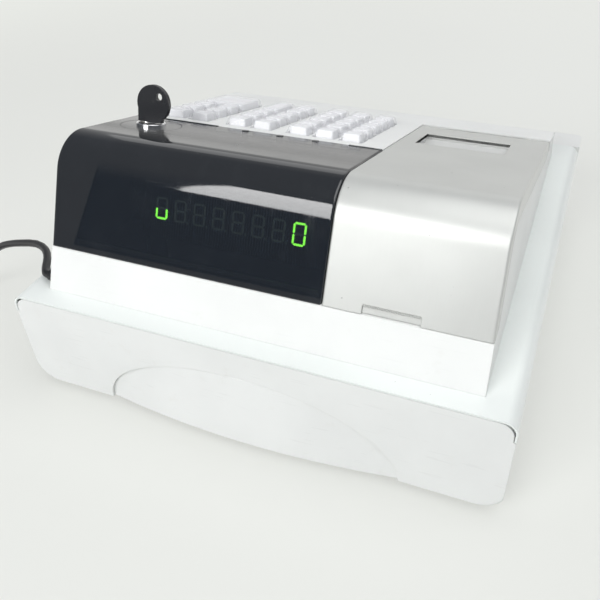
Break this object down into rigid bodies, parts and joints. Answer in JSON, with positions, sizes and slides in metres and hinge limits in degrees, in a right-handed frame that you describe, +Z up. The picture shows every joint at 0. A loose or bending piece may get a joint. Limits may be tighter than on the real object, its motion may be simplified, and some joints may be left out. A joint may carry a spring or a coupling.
{
  "type": "electronic cash register",
  "caption": "Countertop cash register with a sheet-metal drawer cabinet, keyboard deck, customer and operator displays, mode key, receipt printer under a hinged cover, and mains lead.",
  "frame": {"origin": "on the floor under the middle of the machine, its cord left out", "axes": "+Z up, +Y to the customer side, -Y to the operator side, +X to the mode lock and the cord outlet"},
  "size_m": [0.5252, 0.385, 0.1839],
  "materials": {
    "cabinet_paint": "fine textured off-white paint on sheet steel",
    "panel_plastic": "satin off-white moulded panel",
    "bare_steel": "zinc-plated sheet steel",
    "foot_rubber": "black rubber",
    "drawer_plastic": "satin off-white drawer front",
    "tray_plastic": "black moulded tray",
    "case_plastic": "fine textured warm white",
    "hood_plastic": "smoked black, glossy on the window, matte on top",
    "display_tube": "fluorescent display tube with its board and stand",
    "lock_metal": "chromed lock barrel on a glossy black escutcheon",
    "rotor_metal": "turned steel plug",
    "key_black": "glossy black bow on a steel blade",
    "board_green": "green circuit board with rubber collars",
    "transformer_iron": "laminated iron core with its winding",
    "magnet_copper": "wound coil on a steel core",
    "printer_metal": "dark plated printer frame",
    "platen_rubber": "black platen rubber on a steel shaft",
    "paper": "white receipt paper",
    "cover_silver": "satin silver-grey printer cover",
    "cord_rubber": "black cord sheath",
    "key_clear": "clear keycap over a pale stem"
  },
  "bodies": {
    "cabinet": {"cabinet_shell": "cabinet_paint", "rear_panel": "panel_plastic", "base_plate": "bare_steel", "rubber_feet": "foot_rubber", "latch_solenoid": "magnet_copper", "upper_case": "case_plastic", "display_hood": "hood_plastic", "customer_display": "display_tube", "operator_display": "display_tube", "mode_lock": "lock_metal", "main_board": "board_green", "power_transformer": "transformer_iron", "printer_frame": "printer_metal", "strain_relief": "cord_rubber", "power_cord": "cord_rubber", "cord_coil": "cord_rubber", "power_plug": "cord_rubber"},
    "drawer": {"drawer_tray": "bare_steel", "drawer_front": "drawer_plastic", "coin_tray": "tray_plastic"},
    "printer_cover": {"printer_cover": "cover_silver"},
    "mode_rotor": {"mode_rotor": "rotor_metal"},
    "mode_key": {"mode_key": "key_black"},
    "bill_clip_1": {"bill_clip_1": "bare_steel"},
    "bill_clip_2": {"bill_clip_2": "bare_steel"},
    "bill_clip_3": {"bill_clip_3": "bare_steel"},
    "drawer_latch": {"drawer_latch": "bare_steel"},
    "platen_roller": {"platen_roller": "platen_rubber"},
    "paper_roll": {"paper_roll": "paper"},
    "key_pad_1": {"key_pad_1": "key_clear"},
    "key_pad_2": {"key_pad_2": "key_clear"},
    "key_pad_3": {"key_pad_3": "key_clear"},
    "key_pad_4": {"key_pad_4": "key_clear"},
    "key_pad_5": {"key_pad_5": "key_clear"},
    "key_pad_6": {"key_pad_6": "key_clear"},
    "key_pad_7": {"key_pad_7": "key_clear"},
    "key_pad_8": {"key_pad_8": "key_clear"},
    "key_pad_9": {"key_pad_9": "key_clear"},
    "key_pad_10": {"key_pad_10": "key_clear"},
    "key_pad_11": {"key_pad_11": "key_clear"},
    "key_pad_12": {"key_pad_12": "key_clear"},
    "key_pad_13": {"key_pad_13": "key_clear"},
    "key_pad_14": {"key_pad_14": "key_clear"},
    "key_pad_15": {"key_pad_15": "key_clear"},
    "key_entry_1": {"key_entry_1": "key_clear"},
    "key_entry_2": {"key_entry_2": "key_clear"},
    "key_entry_3": {"key_entry_3": "key_clear"},
    "key_entry_4": {"key_entry_4": "key_clear"},
    "key_entry_5": {"key_entry_5": "key_clear"},
    "key_entry_6": {"key_entry_6": "key_clear"},
    "key_entry_7": {"key_entry_7": "key_clear"},
    "key_entry_8": {"key_entry_8": "key_clear"},
    "key_entry_9": {"key_entry_9": "key_clear"},
    "key_clerk_1": {"key_clerk_1": "key_clear"},
    "key_clerk_2": {"key_clerk_2": "key_clear"},
    "key_clerk_3": {"key_clerk_3": "key_clear"},
    "key_clerk_4": {"key_clerk_4": "key_clear"},
    "key_clerk_5": {"key_clerk_5": "key_clear"},
    "key_clerk_6": {"key_clerk_6": "key_clear"},
    "key_total": {"key_total": "key_clear"}
  },
  "joints": [
    {"name": "drawer_slide", "type": "slide", "parent": "cabinet", "child": "drawer", "axis": [0, -1, 0], "range_m": [0, 0.24]},
    {"name": "printer_cover_hinge", "type": "hinge", "parent": "cabinet", "child": "printer_cover", "pos_m": [-0.095, -0.0775, 0.10991], "axis": [1, 0, 0], "range_deg": [0, 60]},
    {"name": "mode_rotor_turn", "type": "hinge", "parent": "cabinet", "child": "mode_rotor", "pos_m": [0.112, 0.056, 0.15729], "axis": [0, -0.2807, 0.9598], "range_deg": [-60, 90]},
    {"name": "mode_key_slide", "type": "slide", "parent": "mode_rotor", "child": "mode_key", "axis": [0, -0.2807, 0.9598], "range_m": [0, 0.03]},
    {"name": "bill_clip_1_hinge", "type": "hinge", "parent": "drawer", "child": "bill_clip_1", "pos_m": [0, 0.1192, 0.0512], "axis": [-1, 0, 0], "range_deg": [0, 40], "stiffness_Nm_per_rad": 0.03, "springref_deg": -20.05},
    {"name": "bill_clip_2_hinge", "type": "hinge", "parent": "drawer", "child": "bill_clip_2", "pos_m": [0, 0.1192, 0.0512], "axis": [-1, 0, 0], "range_deg": [0, 40], "stiffness_Nm_per_rad": 0.03, "springref_deg": -20.05},
    {"name": "bill_clip_3_hinge", "type": "hinge", "parent": "drawer", "child": "bill_clip_3", "pos_m": [0, 0.1192, 0.0512], "axis": [-1, 0, 0], "range_deg": [0, 40], "stiffness_Nm_per_rad": 0.03, "springref_deg": -20.05},
    {"name": "drawer_latch_hinge", "type": "hinge", "parent": "cabinet", "child": "drawer_latch", "pos_m": [0, 0.148, 0.05], "axis": [1, 0, 0], "range_deg": [0, 14]},
    {"name": "platen_spin", "type": "hinge", "parent": "cabinet", "child": "platen_roller", "pos_m": [-0.088, -0.0065, 0.11], "axis": [1, 0, 0], "continuous": true},
    {"name": "paper_roll_spin", "type": "hinge", "parent": "cabinet", "child": "paper_roll", "pos_m": [-0.088, 0.0755, 0.116], "axis": [1, 0, 0], "continuous": true},
    {"name": "key_pad_1_press", "type": "slide", "parent": "cabinet", "child": "key_pad_1", "axis": [0, -0.2807, 0.9598], "range_m": [-0.0025, 0], "stiffness_N_per_m": 50, "springref_m": 0.001},
    {"name": "key_pad_2_press", "type": "slide", "parent": "cabinet", "child": "key_pad_2", "axis": [0, -0.2807, 0.9598], "range_m": [-0.0025, 0], "stiffness_N_per_m": 50, "springref_m": 0.001},
    {"name": "key_pad_3_press", "type": "slide", "parent": "cabinet", "child": "key_pad_3", "axis": [0, -0.2807, 0.9598], "range_m": [-0.0025, 0], "stiffness_N_per_m": 50, "springref_m": 0.001},
    {"name": "key_pad_4_press", "type": "slide", "parent": "cabinet", "child": "key_pad_4", "axis": [0, -0.2807, 0.9598], "range_m": [-0.0025, 0], "stiffness_N_per_m": 50, "springref_m": 0.001},
    {"name": "key_pad_5_press", "type": "slide", "parent": "cabinet", "child": "key_pad_5", "axis": [0, -0.2807, 0.9598], "range_m": [-0.0025, 0], "stiffness_N_per_m": 50, "springref_m": 0.001},
    {"name": "key_pad_6_press", "type": "slide", "parent": "cabinet", "child": "key_pad_6", "axis": [0, -0.2807, 0.9598], "range_m": [-0.0025, 0], "stiffness_N_per_m": 50, "springref_m": 0.001},
    {"name": "key_pad_7_press", "type": "slide", "parent": "cabinet", "child": "key_pad_7", "axis": [0, -0.2807, 0.9598], "range_m": [-0.0025, 0], "stiffness_N_per_m": 50, "springref_m": 0.001},
    {"name": "key_pad_8_press", "type": "slide", "parent": "cabinet", "child": "key_pad_8", "axis": [0, -0.2807, 0.9598], "range_m": [-0.0025, 0], "stiffness_N_per_m": 50, "springref_m": 0.001},
    {"name": "key_pad_9_press", "type": "slide", "parent": "cabinet", "child": "key_pad_9", "axis": [0, -0.2807, 0.9598], "range_m": [-0.0025, 0], "stiffness_N_per_m": 50, "springref_m": 0.001},
    {"name": "key_pad_10_press", "type": "slide", "parent": "cabinet", "child": "key_pad_10", "axis": [0, -0.2807, 0.9598], "range_m": [-0.0025, 0], "stiffness_N_per_m": 50, "springref_m": 0.001},
    {"name": "key_pad_11_press", "type": "slide", "parent": "cabinet", "child": "key_pad_11", "axis": [0, -0.2807, 0.9598], "range_m": [-0.0025, 0], "stiffness_N_per_m": 50, "springref_m": 0.001},
    {"name": "key_pad_12_press", "type": "slide", "parent": "cabinet", "child": "key_pad_12", "axis": [0, -0.2807, 0.9598], "range_m": [-0.0025, 0], "stiffness_N_per_m": 50, "springref_m": 0.001},
    {"name": "key_pad_13_press", "type": "slide", "parent": "cabinet", "child": "key_pad_13", "axis": [0, -0.2807, 0.9598], "range_m": [-0.0025, 0], "stiffness_N_per_m": 50, "springref_m": 0.001},
    {"name": "key_pad_14_press", "type": "slide", "parent": "cabinet", "child": "key_pad_14", "axis": [0, -0.2807, 0.9598], "range_m": [-0.0025, 0], "stiffness_N_per_m": 50, "springref_m": 0.001},
    {"name": "key_pad_15_press", "type": "slide", "parent": "cabinet", "child": "key_pad_15", "axis": [0, -0.2807, 0.9598], "range_m": [-0.0025, 0], "stiffness_N_per_m": 50, "springref_m": 0.001},
    {"name": "key_entry_1_press", "type": "slide", "parent": "cabinet", "child": "key_entry_1", "axis": [0, -0.2807, 0.9598], "range_m": [-0.0025, 0], "stiffness_N_per_m": 50, "springref_m": 0.001},
    {"name": "key_entry_2_press", "type": "slide", "parent": "cabinet", "child": "key_entry_2", "axis": [0, -0.2807, 0.9598], "range_m": [-0.0025, 0], "stiffness_N_per_m": 50, "springref_m": 0.001},
    {"name": "key_entry_3_press", "type": "slide", "parent": "cabinet", "child": "key_entry_3", "axis": [0, -0.2807, 0.9598], "range_m": [-0.0025, 0], "stiffness_N_per_m": 50, "springref_m": 0.001},
    {"name": "key_entry_4_press", "type": "slide", "parent": "cabinet", "child": "key_entry_4", "axis": [0, -0.2807, 0.9598], "range_m": [-0.0025, 0], "stiffness_N_per_m": 50, "springref_m": 0.001},
    {"name": "key_entry_5_press", "type": "slide", "parent": "cabinet", "child": "key_entry_5", "axis": [0, -0.2807, 0.9598], "range_m": [-0.0025, 0], "stiffness_N_per_m": 50, "springref_m": 0.001},
    {"name": "key_entry_6_press", "type": "slide", "parent": "cabinet", "child": "key_entry_6", "axis": [0, -0.2807, 0.9598], "range_m": [-0.0025, 0], "stiffness_N_per_m": 50, "springref_m": 0.001},
    {"name": "key_entry_7_press", "type": "slide", "parent": "cabinet", "child": "key_entry_7", "axis": [0, -0.2807, 0.9598], "range_m": [-0.0025, 0], "stiffness_N_per_m": 50, "springref_m": 0.001},
    {"name": "key_entry_8_press", "type": "slide", "parent": "cabinet", "child": "key_entry_8", "axis": [0, -0.2807, 0.9598], "range_m": [-0.0025, 0], "stiffness_N_per_m": 50, "springref_m": 0.001},
    {"name": "key_entry_9_press", "type": "slide", "parent": "cabinet", "child": "key_entry_9", "axis": [0, -0.2807, 0.9598], "range_m": [-0.0025, 0], "stiffness_N_per_m": 50, "springref_m": 0.001},
    {"name": "key_clerk_1_press", "type": "slide", "parent": "cabinet", "child": "key_clerk_1", "axis": [0, -0.2807, 0.9598], "range_m": [-0.0025, 0], "stiffness_N_per_m": 50, "springref_m": 0.001},
    {"name": "key_clerk_2_press", "type": "slide", "parent": "cabinet", "child": "key_clerk_2", "axis": [0, -0.2807, 0.9598], "range_m": [-0.0025, 0], "stiffness_N_per_m": 50, "springref_m": 0.001},
    {"name": "key_clerk_3_press", "type": "slide", "parent": "cabinet", "child": "key_clerk_3", "axis": [0, -0.2807, 0.9598], "range_m": [-0.0025, 0], "stiffness_N_per_m": 50, "springref_m": 0.001},
    {"name": "key_clerk_4_press", "type": "slide", "parent": "cabinet", "child": "key_clerk_4", "axis": [0, -0.2807, 0.9598], "range_m": [-0.0025, 0], "stiffness_N_per_m": 50, "springref_m": 0.001},
    {"name": "key_clerk_5_press", "type": "slide", "parent": "cabinet", "child": "key_clerk_5", "axis": [0, -0.2807, 0.9598], "range_m": [-0.0025, 0], "stiffness_N_per_m": 50, "springref_m": 0.001},
    {"name": "key_clerk_6_press", "type": "slide", "parent": "cabinet", "child": "key_clerk_6", "axis": [0, -0.2807, 0.9598], "range_m": [-0.0025, 0], "stiffness_N_per_m": 50, "springref_m": 0.001},
    {"name": "key_total_press", "type": "slide", "parent": "cabinet", "child": "key_total", "axis": [0, -0.2807, 0.9598], "range_m": [-0.0025, 0], "stiffness_N_per_m": 50, "springref_m": 0.001}
  ]
}
